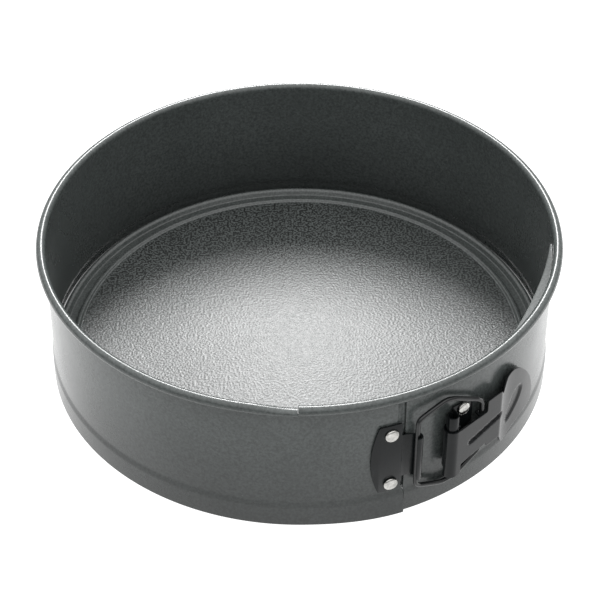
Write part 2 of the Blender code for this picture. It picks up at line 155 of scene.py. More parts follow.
def satinBandCoating():
    # PTFE non-stick coating, sprayed and baked on carbon steel: dark neutral grey with a
    # satin sheen that mirrors a dull picture of the latch and a faint orange peel. The
    # grain is drawn 0.8 mm wide, coarser than a real spray grain, so that it shows, and
    # the lowest 50 mm is shaded darker by height, to stand for how the light falls off
    material, tree, shader, place = newMaterial("satin PTFE coating", {"IOR": 1.5, "Metallic": 0.0})
    cloud = addNode(tree, "TexNoise", {"Scale": grainScale(34 * mm), "Detail": 3.0}, {"Vector": place})
    tint = addNode(tree, "ValToRGB", None, {"Fac": cloud}, [(0.3, "#4a4f4e"), (0.7, "#545958")])
    grain = addNode(tree, "TexNoise", {"Scale": grainScale(0.8 * mm), "Detail": 3.0, "Roughness": 0.7},
                    {"Vector": place})
    fleck = addNode(tree, "ValToRGB", None, {"Fac": grain}, [(0.36, 0.55), (0.64, 1.0)])
    mixed = addNode(tree, "MixRGB", {"blend_type": "MULTIPLY", "Fac": 1.0},
                    {"Color1": tint, "Color2": fleck})
    rise = tree.nodes.new("ShaderNodeSeparateXYZ")
    tree.links.new(place, rise.inputs["Vector"])
    climb = addNode(tree, "MapRange", {"From Min": 0.0, "From Max": 50 * mm}, {"Value": rise.outputs["Z"]})
    shade = addNode(tree, "ValToRGB", None, {"Fac": climb}, [(0.0, 0.42), (1.0, 1.0)])
    shaded = addNode(tree, "MixRGB", {"blend_type": "MULTIPLY", "Fac": 1.0},
                     {"Color1": mixed, "Color2": shade})
    tree.links.new(shaded, shader.inputs["Base Color"])
    sheen = addNode(tree, "TexNoise", {"Scale": grainScale(11 * mm), "Detail": 4.0}, {"Vector": place})
    rough = addNode(tree, "MapRange", {"To Min": 0.2, "To Max": 0.32}, {"Value": sheen})
    tree.links.new(rough, shader.inputs["Roughness"])
    blisters = addNode(tree, "TexNoise", {"Scale": grainScale(2.4 * mm), "Detail": 2.0}, {"Vector": place})
    peel = addNode(tree, "Bump", {"Strength": 0.5, "Distance": 0.02 * mm}, {"Height": blisters})
    bump = addNode(tree, "Bump", {"Strength": 0.9, "Distance": 0.04 * mm}, {"Height": grain, "Normal": peel})
    tree.links.new(bump, shader.inputs["Normal"])
    return material


def grainedBaseCoating():
    # the same coating over a pebbled base sheet: thousands of tiny facets scatter the
    # light into a broad sparkling glow, and the pressed ring round it stays smoother. The
    # pebbles are drawn 0.62 mm wide, coarser than real ones, so that they show
    material, tree, shader, place = newMaterial("pebbled PTFE coating", {"IOR": 1.5, "Metallic": 0.0})
    fadeStart, fadeEnd = 104.6 * mm, 106.2 * mm
    pebble = addNode(tree, "TexNoise", {"Scale": grainScale(0.62 * mm), "Detail": 0.5, "Roughness": 0.6},
                     {"Vector": place})
    cloud = addNode(tree, "TexNoise", {"Scale": grainScale(42 * mm), "Detail": 3.0}, {"Vector": place})
    tint = addNode(tree, "ValToRGB", None, {"Fac": cloud}, [(0.3, "#4a4e4d"), (0.7, "#555958")])
    fleck = addNode(tree, "ValToRGB", None, {"Fac": pebble}, [(0.43, 0.15), (0.58, 1.0)])
    reach = tree.nodes.new("ShaderNodeVectorMath")
    reach.operation = "LENGTH"
    tree.links.new(place, reach.inputs[0])
    coarse = addNode(tree, "MapRange", {"From Min": fadeStart, "From Max": fadeEnd, "To Min": 1.0,
                                        "To Max": 0.3}, {"Value": reach.outputs["Value"]})
    mixed = addNode(tree, "MixRGB", {"blend_type": "MULTIPLY"},
                    {"Fac": coarse, "Color1": tint, "Color2": fleck})
    tree.links.new(mixed, shader.inputs["Base Color"])
    sheen = addNode(tree, "TexNoise", {"Scale": grainScale(0.6 * mm), "Detail": 1.0}, {"Vector": place})
    rough = addNode(tree, "MapRange", {"To Min": 0.28, "To Max": 0.46}, {"Value": sheen})
    pressed = addNode(tree, "Math", {"operation": "MULTIPLY"}, {0: rough, 1: coarse})
    tree.links.new(pressed, shader.inputs["Roughness"])
    bump = addNode(tree, "Bump", {"Distance": 0.14 * mm}, {"Height": pebble, "Strength": coarse})
    tree.links.new(bump, shader.inputs["Normal"])
    return material


def blackLatchSteel():
    # stamped mild steel under black electro-coat: semi-gloss, slightly uneven, rubbed a
    # little greyer in blotches where fingers and the bail work on it
    settings = {"IOR": 1.4, "Specular IOR Level": 0.36}
    material, tree, shader, place = newMaterial("black electro-coated steel", settings)
    cloud = addNode(tree, "TexNoise", {"Scale": grainScale(7 * mm), "Detail": 4.0, "Roughness": 0.6},
                    {"Vector": place})
    tint = addNode(tree, "ValToRGB", None, {"Fac": cloud},
                   [(0.35, "#0e1011"), (0.6, "#151819"), (0.8, "#222526")])
    tree.links.new(tint, shader.inputs["Base Color"])
    sheen = addNode(tree, "TexNoise", {"Scale": grainScale(3 * mm), "Detail": 4.0}, {"Vector": place})
    rough = addNode(tree, "MapRange", {"To Min": 0.14, "To Max": 0.3}, {"Value": sheen})
    tree.links.new(rough, shader.inputs["Roughness"])
    swells = addNode(tree, "TexNoise", {"Scale": grainScale(5 * mm)}, {"Vector": place})
    dents = addNode(tree, "Bump", {"Strength": 0.5, "Distance": 0.07 * mm}, {"Height": swells})
    speck = addNode(tree, "TexNoise", {"Scale": grainScale(0.7 * mm), "Detail": 3.0}, {"Vector": place})
    grain = addNode(tree, "Bump", {"Strength": 0.7, "Distance": 0.012 * mm},
                    {"Height": speck, "Normal": dents})
    tree.links.new(grain, shader.inputs["Normal"])
    return material


def blackSpringWire():
    # drawn spring wire with the same black coat, smoother than the stamped plates
    material, tree, shader, place = newMaterial("black coated spring wire", {"IOR": 1.5, "Metallic": 0.0})
    cloud = addNode(tree, "TexNoise", {"Scale": grainScale(4 * mm), "Detail": 3.0}, {"Vector": place})
    tint = addNode(tree, "ValToRGB", None, {"Fac": cloud}, [(0.35, "#101112"), (0.75, "#1d2020")])
    tree.links.new(tint, shader.inputs["Base Color"])
    rough = addNode(tree, "MapRange", {"To Min": 0.14, "To Max": 0.26}, {"Value": cloud})
    tree.links.new(rough, shader.inputs["Roughness"])
    speck = addNode(tree, "TexNoise", {"Scale": grainScale(0.6 * mm), "Detail": 2.0}, {"Vector": place})
    grain = addNode(tree, "Bump", {"Strength": 0.5, "Distance": 0.008 * mm}, {"Height": speck})
    tree.links.new(grain, shader.inputs["Normal"])
    return material


def brightRivetSteel():
    # nickel-plated steel rivets, set by a press: bright, dented, with tool marks
    material, tree, shader, place = newMaterial("nickel-plated steel", {"Metallic": 1.0})
    cloud = addNode(tree, "TexNoise", {"Scale": grainScale(1.6 * mm), "Detail": 3.0}, {"Vector": place})
    tint = addNode(tree, "ValToRGB", None, {"Fac": cloud}, [(0.3, "#9a9996"), (0.7, "#d6d5d1")])
    tree.links.new(tint, shader.inputs["Base Color"])
    rough = addNode(tree, "MapRange", {"To Min": 0.1, "To Max": 0.26}, {"Value": cloud})
    tree.links.new(rough, shader.inputs["Roughness"])
    dents = addNode(tree, "TexNoise", {"Scale": grainScale(2.2 * mm), "Detail": 2.0}, {"Vector": place})
    marks = addNode(tree, "Bump", {"Strength": 0.9, "Distance": 0.4 * mm}, {"Height": dents})
    tree.links.new(marks, shader.inputs["Normal"])
    return material


finishes = {
    "band_coating": satinBandCoating(),
    "base_coating": grainedBaseCoating(),
    "latch_black": blackLatchSteel(),
    "bail_wire": blackSpringWire(),
    "rivet_steel": brightRivetSteel(),
}
slots = {entry["node"]: entry["material_slot"] for entry in frame["record"]["subparts"]}
bodies = frame["record"]["behaviour"]["bodies"]
for nodeName, part in frame["nodes"].items():
    part.data.materials.clear()
    part.data.materials.append(finishes[slots[nodeName]])
print("finishes mixed:", len(finishes))


# how pieces are made
def finishPiece(name, bm, nodeName, sharpAngle=40):
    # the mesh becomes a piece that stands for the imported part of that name
    bmesh.ops.remove_doubles(bm, verts=bm.verts, dist=0.002 * mm)
    bmesh.ops.recalc_face_normals(bm, faces=bm.faces)
    mesh = bpy.data.meshes.new(name)
    bm.to_mesh(mesh)
    bm.free()
    mesh.shade_smooth()
    mesh.set_sharp_from_angle(angle=math.radians(sharpAngle))
    mesh.materials.append(finishes[slots[nodeName]])
    piece = bpy.data.objects.new(name, mesh)
    bpy.context.scene.collection.objects.link(piece)
    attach(piece, next(body for body, members in bodies.items() if nodeName in members))
    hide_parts(nodeName)
    print(name, "made,", len(mesh.polygons), "faces")
    return piece


def softenEdges(bm, width, segments=2, over=50):
    # a small round on every cut edge
    edges = [edge for edge in bm.edges if edge.is_manifold and edge.calc_face_angle(0) > math.radians(over)]
    bmesh.ops.bevel(bm, geom=edges, offset=width, offset_type="OFFSET", affect="EDGES", segments=segments,
                    profile=0.5, material=-1, clamp_overlap=True)


def pathLengths(path):
    lengths = [0.0]
    for before, after in zip(path, path[1:]):
        lengths.append(lengths[-1] + (after - before).length)
    return lengths


def pathNormals(path):
    # outward at each point, lengthened at bends so that the sheet keeps its thickness
    normals = []
    for index, point in enumerate(path):
        before = path[max(index - 1, 0)]
        after = path[min(index + 1, len(path) - 1)]
        first = (point - before) if index else (after - point)
        second = (after - point) if index < len(path) - 1 else first
        first = Vector((first.y, -first.x, 0)).normalized()
        second = Vector((second.y, -second.x, 0)).normalized()
        middle = (first + second).normalized()
        normals.append(middle / max(middle.dot(first), 0.5))
    return normals


def bentSheet(outlines, path, thickness, softness, rows=None, press=None):
    # a flat blank of (length, height) outlines, cut across where the path bends, pressed
    # through the given relief, given its thickness and bent along the path
    lengths = pathLengths(path)
    normals = pathNormals(path)
    bm = bmesh.new()
    for outline in outlines:
        bm.faces.new([bm.verts.new((point[0], point[1], 0)) for point in outline])
    bmesh.ops.remove_doubles(bm, verts=bm.verts, dist=0.01 * mm)
    for length in lengths[1:-1]:
        bmesh.ops.bisect_plane(bm, geom=bm.verts[:] + bm.edges[:] + bm.faces[:], dist=0.001 * mm,
                               plane_co=(length, 0, 0), plane_no=(1, 0, 0))
    for height in rows or []:
        bmesh.ops.bisect_plane(bm, geom=bm.verts[:] + bm.edges[:] + bm.faces[:], dist=0.001 * mm,
                               plane_co=(0, height, 0), plane_no=(0, 1, 0))
    raised = bmesh.ops.extrude_face_region(bm, geom=bm.faces[:], use_keep_orig=True)["geom"]
    tops = [item for item in raised if isinstance(item, bmesh.types.BMVert)]
    bmesh.ops.translate(bm, verts=tops, vec=(0, 0, thickness))
    bmesh.ops.recalc_face_normals(bm, faces=bm.faces)
    softenEdges(bm, softness)
    for vert in bm.verts:
        along = min(max(vert.co.x, 0.0), lengths[-1])
        index = next(i for i in range(1, len(lengths)) if along <= lengths[i] + 0.001 * mm)
        share = (along - lengths[index - 1]) / (lengths[index] - lengths[index - 1])
        point = path[index - 1].lerp(path[index], share)
        normal = normals[index - 1].lerp(normals[index], share)
        offset = vert.co.z - thickness / 2
        if press:
            offset += press(along, vert.co.y)
        vert.co = Vector((point.x, point.y, vert.co.y)) + normal * offset
    return bm


def turnedPiece(profile, steps, centre=(0, 0, 0), axis=(0, 0, 1)):
    # a closed (radius, height) outline spun about an axis
    bm = bmesh.new()
    verts = [bm.verts.new((point[0], 0, point[1])) for point in profile]
    edges = [bm.edges.new(pair) for pair in zip(verts, verts[1:])]
    if profile[0][0] > 0:
        edges.append(bm.edges.new((verts[-1], verts[0])))
    bmesh.ops.spin(bm, geom=verts + edges, cent=(0, 0, 0), axis=(0, 0, 1), dvec=(0, 0, 0),
                   angle=2 * math.pi, steps=steps, use_merge=True, use_duplicate=False)
    turn = Vector((0, 0, 1)).rotation_difference(Vector(axis)).to_matrix().to_4x4()
    bmesh.ops.transform(bm, verts=bm.verts, matrix=Matrix.Translation(centre) @ turn)
    return bm


def taggedBetween(faces, low, high):
    return [face for face in faces if low < face.calc_center_median().z < high]


def carryOn(bm, faces, turn, shift=0.0):
    # rolls part of the strip's section on round the pan, and outwards by shift
    chosen = set(faces)
    beside = {other for face in faces for edge in face.edges for other in edge.link_faces}
    grown = bmesh.ops.extrude_face_region(bm, geom=faces, use_keep_orig=True)["geom"]
    for vert in (item for item in grown if isinstance(item, bmesh.types.BMVert)):
        vert.co = polar(angleOf(vert.co) + turn, math.hypot(vert.co.x, vert.co.y) + shift, vert.co.z)
    if beside - chosen:
        bmesh.ops.delete(bm, geom=faces, context="FACES_ONLY")
    return [item for item in grown if isinstance(item, bmesh.types.BMFace)]


def carryFar(bm, faces, turn, step=1.2):
    count = max(1, math.ceil(abs(turn) / step))
    for _ in range(count):
        faces = carryOn(bm, faces, turn / count)
    return faces


# side band
band = {
    "sheet": 0.7 * mm,
    "wall": 116.75 * mm,          # middle of the sheet
    "skirtStep": 0.7 * mm,
    "skirtTop": 10.6 * mm,
    "ledgeTop": 13.4 * mm,
    "bend": 0.7 * mm,
    "slit": (15.6 * mm, 16.0 * mm),
    "link": (66.6 * mm, 67.0 * mm),
    "curl": 1.9 * mm,             # middle of the sheet in the rolled rim
    "curlSet": 1.95 * mm,
    "curlOpen": -100,
    "seam": 22.7,
    "rimSeam": -0.3,
    "seamGap": 0.14,
    "lapGap": 0.12,               # degrees between the skirt's ends
    "joggle": (20.6, 22.2),
    "tongueTouch": 50.0,
    "tongueEnd": 88.0,
    "tongueBulge": 3.0 * mm,
    "tongueGap": 0.35 * mm,       # how far the tongue stands clear inside the wall
    "ledgeSheet": 0.5 * mm,
    "ledgeGap": 0.15 * mm,        # above the tongue and short of the wall
    "rimSeat": 0.5 * mm,
    "rimPinch": 0.34,             # how far the rim's tucked end is flattened
    "pinchLength": 11.0,
    "skirtFlare": 1.3 * mm,       # how far the skirt's outer end stands off
    "flareLength": 22.0,
}


def bandMiddle():
    # the sheet's middle line as (radius, height), from the foot to the rim's lip
    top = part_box("side_band")[1].z
    centre = Vector((band["wall"] + band["curlSet"], top - band["curl"] - band["sheet"] / 2))
    foot = band["wall"] + band["skirtStep"]
    corners = [Vector((foot, 0)), Vector((foot, band["skirtTop"])), Vector((band["wall"], band["ledgeTop"])),
               Vector((band["wall"], band["slit"][0]))]
    line = filletLine(corners, band["bend"])
    line += [Vector((band["wall"], height)) for height in (band["slit"][1], *band["link"])]
    steps = 26
    for step in range(steps + 1):
        turn = math.radians(180 + (band["curlOpen"] - 180) * step / steps)
        line.append(centre + band["curl"] * Vector((math.cos(turn), math.sin(turn))))
    return line


def bandSection(bm, angle):
    # the sheet cut across: a row of cells from the foot to the lip
    line = bandMiddle()
    rows = []
    for index, point in enumerate(line):
        before = line[max(index - 1, 0)]
        after = line[min(index + 1, len(line) - 1)]
        run = (after - before).normalized()
        across = Vector((run.y, -run.x)) * band["sheet"] / 2
        pair = [point + across, point - across]
        if index == 0:
            pair = [Vector((item.x, 0)) for item in pair]
        rows.append([bm.verts.new(polar(angle, item.x, item.y)) for item in pair])
    return [bm.faces.new((a[0], b[0], b[1], a[1])) for a, b in zip(rows, rows[1:])]


def bandTongue(bm, faces):
    # the inner end steps in by a sheet, hugs the wall and then springs off it a little
    start, end = band["joggle"]
    steps = 6
    before = 0.0
    for step in range(1, steps + 1):
        drop = (band["sheet"] + band["tongueGap"]) * smoothStep(0, 1, step / steps)
        faces = carryOn(bm, faces, (end - start) / steps, before - drop)
        before = drop
    faces = carryFar(bm, faces, band["tongueTouch"] - end)
    steps = 32
    before = 0.0
    for step in range(1, steps + 1):
        bulge = band["tongueBulge"] * math.sin(math.pi * step / steps)
        faces = carryOn(bm, faces, (band["tongueEnd"] - band["tongueTouch"]) / steps, before - bulge)
        before = bulge


def tongueLedge(bm):
    # a flat ledge along the tongue's top edge. It is a guess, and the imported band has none
    start, end = band["tongueTouch"], band["tongueEnd"]
    high = band["link"][0] + band["ledgeGap"]
    low = high - band["ledgeSheet"]
    inner = band["wall"] - band["sheet"] - band["tongueGap"]
    outer = band["wall"] - band["sheet"] / 2 - band["ledgeGap"]
    corners = ((inner, low), (outer, low), (outer, high), (inner, high))
    section = bm.faces.new([bm.verts.new(polar(start, radius, height)) for radius, height in corners])
    standing = set(bm.verts) - set(section.verts)
    bmesh.ops.spin(bm, geom=[section], cent=(0, 0, 0), axis=(0, 0, 1), dvec=(0, 0, 0),
                   angle=math.radians(end - start), steps=48, use_merge=False, use_duplicate=False)
    for vert in set(bm.verts) - standing:
        angle = angleOf(vert.co)
        if math.hypot(vert.co.x, vert.co.y) < (inner + outer) / 2:
            bulge = band["tongueBulge"] * math.sin(math.pi * (angle - start) / (end - start))
            vert.co = polar(angle, inner - bulge, vert.co.z)


def makeBand():
    bm = bmesh.new()
    half = band["seamGap"] / 2
    start = band["seam"] + half
    first = bandSection(bm, start)
    rimStop = 360 + band["rimSeam"] - half
    faces = carryFar(bm, first, rimStop - start)
    strip = taggedBetween(faces, 0, band["link"][0])
    strip = carryFar(bm, strip, 360 + band["joggle"][0] - rimStop)
    skirt = taggedBetween(strip, 0, band["slit"][0])
    tongue = taggedBetween(strip, band["slit"][1], band["link"][0])
    carryFar(bm, skirt, band["seam"] + half - band["lapGap"] - band["joggle"][0])
    bandTongue(bm, tongue)
    rim = [face for face in first if face.is_valid and face.calc_center_median().z > band["link"][1]]
    carryFar(bm, rim, band["rimSeam"] + half - start)
    tongueLedge(bm)
    for vert in bm.verts:
        shapeBandEnd(vert)
    bmesh.ops.recalc_face_normals(bm, faces=bm.faces)
    softenEdges(bm, 0.12 * mm, segments=1, over=65)
    return finishPiece("band_strip", bm, "side_band")


def shapeBandEnd(vert):
    # the rim's tucked end is flattened and the skirt's outer end stands off the base
    angle = angleOf(vert.co)
    radius = math.hypot(vert.co.x, vert.co.y)
    seat = band["link"][1] + band["rimSeat"]
    if vert.co.z > seat and angle < band["rimSeam"]:
        pinch = band["rimPinch"] * smoothStep(-band["pinchLength"], band["rimSeam"], angle)
        vert.co.z = seat + (vert.co.z - seat) * (1 - pinch)
    low = band["ledgeTop"]
    if vert.co.z < low and band["seam"] - band["flareLength"] < angle < band["seam"]:
        flare = smoothStep(band["seam"] - band["flareLength"], band["seam"], angle)
        radius += band["skirtFlare"] * flare * (1 - vert.co.z / low)
        vert.co = polar(angle, radius, vert.co.z)


makeBand()


# base
base = {
    "sheet": 0.8 * mm,
    "rise": 1.7 * mm,             # flat middle's top above the lowest point
    "round": 0.5 * mm,
    # (radius, rise above the flat middle), along the top face
    "steps": ((105.9, 0.0), (106.8, 1.1), (108.0, 1.1), (109.3, -0.9), (112.8, -0.9), (113.9, 1.1),
              (115.1, 1.75), (116.0, 1.5), (116.7, 0.6)),
}


def makeBase():
    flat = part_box("base_disc")[0].z + base["rise"]
    line = [Vector((0, flat)), Vector((60 * mm, flat))]
    line += [Vector((radius * mm, flat + rise * mm)) for radius, rise in base["steps"]]
    top = filletLine(line, base["round"], 6)
    bottom = [Vector((point.x, point.y - base["sheet"])) for point in reversed(top)]
    bm = turnedPiece(top + bottom, 288)
    return finishPiece("base_plate", bm, "base_disc", 60)


makeBase()


# latch
latch = {
    "sheet": 0.7 * mm,
    "leverSheet": 0.8 * mm,
    "wire": 1.1 * mm,
    "plateRadius": 117.75 * mm,                     # middle of the riveted plates
    "pivot": (32.8, 121.5 * mm),                    # angle and radius
    "tube": 2.7 * mm,
    "leg": (50.3 * mm, 121.0 * mm),                 # arc and radius
    "eye": (84.0 * mm, 120.35 * mm),
    "ridge": 46.4,
    "soft": 0.14 * mm,
}
pivot = polar(*latch["pivot"])
leg = polar(angleAt(latch["leg"][0]), latch["leg"][1])
eye = polar(angleAt(latch["eye"][0]), latch["eye"][1])
pivotAlong, pivotOutward = directionsAt(latch["pivot"][0])


def arcRun(centre, radius, first, last, steps, along, outward):
    points = []
    for step in range(steps + 1):
        turn = math.radians(first + (last - first) * step / steps)
        points.append(centre + radius * (math.cos(turn) * along + math.sin(turn) * outward))
    return points


keeper = {
    "arcs": (30.7 * mm, 44.6 * mm, 46.6 * mm),      # left edge, neck, start of the hook
    "heights": (15.0 * mm, 53.8 * mm),
    "neck": (22.2 * mm, 46.6 * mm),
    "bow": 3.6 * mm,
    "bore": 1.65 * mm,
    "hookSet": 0.2 * mm,
    "hookStart": 100,
    "hookTurn": 118,
}


def makeKeeper():
    left, neck, foot = keeper["arcs"]
    low, high = keeper["heights"]
    neckLow, neckHigh = keeper["neck"]
    along, outward = directionsAt(angleAt(latch["leg"][0]))
    centre = leg + keeper["hookSet"] * along
    bend = keeper["bore"] + latch["sheet"] / 2
    path = wallRun(left, foot, latch["plateRadius"], 10)
    path += arcRun(centre, bend, -keeper["hookStart"], keeper["hookTurn"], 30, along, outward)
    end = pathLengths(path)[-1]
    neckRun = (neck - left) * latch["plateRadius"] / arcRadius
    steps = 12
    edge = []
    for step in range(steps + 1):
        share = step / steps
        edge.append(Vector((keeper["bow"] * (2 * share - 1) ** 2, low + (high - low) * share)))
    corners = [Vector(point) for point in ((neckRun, low), (neckRun, neckLow), (end, neckLow),
                                           (end, neckHigh), (neckRun, neckHigh), (neckRun, high))]
    outline = filletLoop(corners + edge[::-1], 0.7 * mm, 4)
    bm = bentSheet([outline], path, latch["sheet"], latch["soft"])
    return finishPiece("keeper_hook", bm, "keeper_plate")


hinge = {
    "right": 80.5 * mm,
    "corner": 4.0 * mm,
    "heights": (15.5 * mm, 52.0 * mm),
    "tubeHeights": (20.6 * mm, 51.3 * mm),
    "web": (22.4 * mm, 44.2 * mm),
    "tubeStart": 305,
}


def makeHinge():
    low, high = hinge["heights"]
    tubeLow, tubeHigh = hinge["tubeHeights"]
    webLow, webHigh = hinge["web"]
    corner = hinge["corner"]
    tubeSteps = 48
    bend = latch["tube"] - latch["sheet"] / 2
    path = arcRun(pivot, bend, hinge["tubeStart"], 0, tubeSteps, pivotAlong, pivotOutward)
    webAngle = latch["pivot"][0] + math.degrees(bend / latch["plateRadius"])
    path += wallRun(math.radians(webAngle) * arcRadius, hinge["right"], latch["plateRadius"], 8)
    lengths = pathLengths(path)
    tubeEnd, webEnd, end = lengths[tubeSteps], lengths[tubeSteps + 1], lengths[-1]
    tube = [(0, tubeLow), (tubeEnd, tubeLow), (tubeEnd, webLow), (tubeEnd, webHigh), (tubeEnd, tubeHigh),
            (0, tubeHigh)]
    lowerWeb = [(tubeEnd, tubeLow), (webEnd, tubeLow), (webEnd, webLow), (tubeEnd, webLow)]
    upperWeb = [(tubeEnd, webHigh), (webEnd, webHigh), (webEnd, tubeHigh), (tubeEnd, tubeHigh)]
    cornerSteps = 6
    plate = [(webEnd, low)]
    for foot, first in ((low + corner, -90), (high - corner, 0)):
        for step in range(cornerSteps + 1):
            turn = math.radians(first + 90 * step / cornerSteps)
            plate.append((end - corner + corner * math.cos(turn), foot + corner * math.sin(turn)))
    plate += [(webEnd, high), (webEnd, tubeHigh), (webEnd, webHigh), (webEnd, webLow), (webEnd, tubeLow)]
    bm = bentSheet([tube, lowerWeb, upperWeb, plate], path, latch["sheet"], latch["soft"])
    return finishPiece("hinge_plate_rolled", bm, "hinge_plate")


lever = {
    "gap": 0.3 * mm,
    "wrap": 300,
    "padRadius": 119.5 * mm,
    "ridgeRise": 2.3 * mm,
    "padEnd": 127.0 * mm,
    "tabLow": 17.2 * mm,
    "tabRun": 2.6 * mm,
    "curl": (22.8 * mm, 43.8 * mm),
    "neck": (9.4 * mm, 24.0 * mm, 42.8 * mm),        # before the ridge, low, high
    "wide": (21.6 * mm, 49.0 * mm),
    # (run past the ridge, height), anticlockwise
    "pad": ((0.0, 21.6), (2.4, 16.4), (4.6, 14.8), (8.4, 15.9), (18.9, 18.6), (27.1, 19.5), (30.4, 21.6),
            (31.2, 25.4), (29.1, 34.5), (23.2, 43.5), (16.3, 50.3), (10.6, 53.1), (6.4, 52.8), (3.9, 49.6),
            (1.9, 45.4), (0.0, 48.6)),
    "round": 0.8 * mm,
    "padRound": 5.0 * mm,
    "curlSteps": 60,
    "tabStep": 39,                                   # step of the curl where the tab begins
    "bodySteps": 36,
    "padSteps": 44,
    "grooveStart": 20.0 * mm,                        # before the ridge
    "grooveHeights": (32.0 * mm, 34.8 * mm),
    "grooveHalf": 1.7 * mm,
    "grooveDepth": 1.1 * mm,
    # past the ridge, height, half length, half width, lean
    "dish": (12.6 * mm, 31.5 * mm, 9.4 * mm, 3.8 * mm, 50),
    "dishDepth": 0.8 * mm,
    "rows": (15.5 * mm, 0.6 * mm, 62),               # cuts that carry the relief: first, step, count
    "ears": (24.4 * mm, 42.0 * mm),
    "earHalf": (2.3 * mm, 1.8 * mm),
    "earHole": 0.2 * mm,                             # wider than the wire, all round
    "earSink": 0.05 * mm,
}


def leverPath():
    # seen from above: a curl round the tube, a straight run to the ridge, a pad along the wall
    curl = latch["tube"] + lever["gap"] + latch["leverSheet"] / 2
    ridgeArc = math.radians(latch["ridge"]) * arcRadius
    ridge = polar(latch["ridge"], lever["padRadius"] + lever["ridgeRise"])
    span = ridge - pivot
    lean = math.degrees(math.atan2(span.dot(pivotOutward), span.dot(pivotAlong)))
    leave = 90 + lean - math.degrees(math.asin(curl / span.length))
    points = arcRun(pivot, curl, leave + lever["wrap"], leave, lever["curlSteps"], pivotAlong, pivotOutward)
    steps = lever["bodySteps"]
    points += [points[-1].lerp(ridge, step / steps) for step in range(1, steps + 1)]
    steps = lever["padSteps"]
    for step in range(1, steps + 1):
        share = step / steps
        radius = lever["padRadius"] + lever["ridgeRise"] * (1 - share) ** 6
        points.append(polar(angleAt(ridgeArc + (lever["padEnd"] - ridgeArc) * share), radius))
    return points


def leverRelief(ridge):
    # how far the sheet is pressed in: a rib along the body and a leaf-shaped dish in the pad
    start = ridge - lever["grooveStart"]
    lowEnd, highEnd = lever["grooveHeights"]
    past, middle, halfLength, halfWidth, lean = lever["dish"]
    turn = math.radians(lean)

    def press(along, height):
        share = min(max((along - start) / (ridge - start), 0.0), 1.0)
        nearest = Vector((start + (ridge - start) * share, lowEnd + (highEnd - lowEnd) * share))
        away = (Vector((along, height)) - nearest).length / lever["grooveHalf"]
        depth = lever["grooveDepth"] * (1 - smoothStep(0.25, 1.0, away))
        across = along - ridge - past
        up = height - middle
        run = across * math.cos(turn) + up * math.sin(turn)
        side = -across * math.sin(turn) + up * math.cos(turn)
        width = halfWidth * (1 + 0.3 * run / halfLength)
        reach = math.hypot(run / halfLength, side / width)
        depth += lever["dishDepth"] * (1 - smoothStep(0.82, 1.05, reach))
        return -depth

    return press


def makeLever():
    path = leverPath()
    lengths = pathLengths(path)
    curlEnd = lengths[lever["curlSteps"]]
    ridge = lengths[lever["curlSteps"] + lever["bodySteps"]]
    curlFront = lengths[lever["tabStep"]]
    tabLow, tabEnd = lever["tabLow"], curlEnd + lever["tabRun"]
    curlLow, curlHigh = lever["curl"]
    before, neckLow, neckHigh = lever["neck"]
    neck = ridge - before
    wideLow, wideHigh = lever["wide"]
    front = [(0, curlLow), (curlFront, curlLow), (curlFront, tabLow), (tabEnd, tabLow), (tabEnd, curlLow),
             (neck, neckLow), (neck + 1.0 * mm, wideLow)]
    pad = filletLine([Vector((ridge + past * mm, height * mm)) for past, height in lever["pad"]],
                     lever["padRound"], 5)
    top = [(neck, wideHigh), (neck, neckHigh), (curlEnd, curlHigh), (0, curlHigh)]
    outline = filletLoop([Vector(point) for point in front] + pad + [Vector(point) for point in top],
                         lever["round"], 3)
    firstRow, rowStep, rowCount = lever["rows"]
    rows = [firstRow + rowStep * step for step in range(rowCount)]
    bm = bentSheet([outline], path, latch["leverSheet"], latch["soft"], rows, leverRelief(ridge))
    for low in lever["ears"]:
        addEar(bm, low)
    return finishPiece("lever_pressed", bm, "lever")


def addEar(bm, low):
    # a small folded ear with the hole for one end of the bail
    centre = eye + Vector((0, 0, low + latch["leverSheet"] / 2)) - lever["earSink"] * pivotOutward
    turn = Matrix((pivotAlong, pivotOutward, (0, 0, 1))).transposed().to_4x4()
    bore = latch["wire"] + lever["earHole"]
    ring = bmesh.ops.create_circle(bm, segments=32, radius=bore, cap_ends=False)["verts"]
    edges = list({edge for vert in ring for edge in vert.link_edges})
    outer = bmesh.ops.extrude_edge_only(bm, edges=edges)["geom"]
    rim = [item for item in outer if isinstance(item, bmesh.types.BMVert)]
    halfRun, halfDepth = lever["earHalf"]
    for vert in rim:
        scale = min(halfRun / max(abs(vert.co.x), 0.001 * mm), halfDepth / max(abs(vert.co.y), 0.001 * mm))
        vert.co = vert.co * scale
    faces = list({face for vert in rim for face in vert.link_faces})
    grown = bmesh.ops.extrude_face_region(bm, geom=faces, use_keep_orig=True)["geom"]
    tops = [item for item in grown if isinstance(item, bmesh.types.BMVert)]
    bmesh.ops.translate(bm, verts=tops, vec=(0, 0, latch["leverSheet"]))
    bottom = Matrix.Translation(centre - Vector((0, 0, latch["leverSheet"] / 2))) @ turn
    bmesh.ops.transform(bm, verts=list(set(ring + rim + tops)), matrix=bottom)


bail = {
    # (share of the way from the keeper's leg to the lever's eye, height)
    "lower": ((1, 26.2), (1, 20.6), (0.62, 11.6), (0.42, 10.8), (0, 16.8)),
    "upper": ((0, 55.6), (0.16, 57.6), (0.42, 60.2), (0.55, 58.8), (0.93, 51.4), (1, 49.0), (1, 41.2)),
    "bend": 3.2 * mm,
}


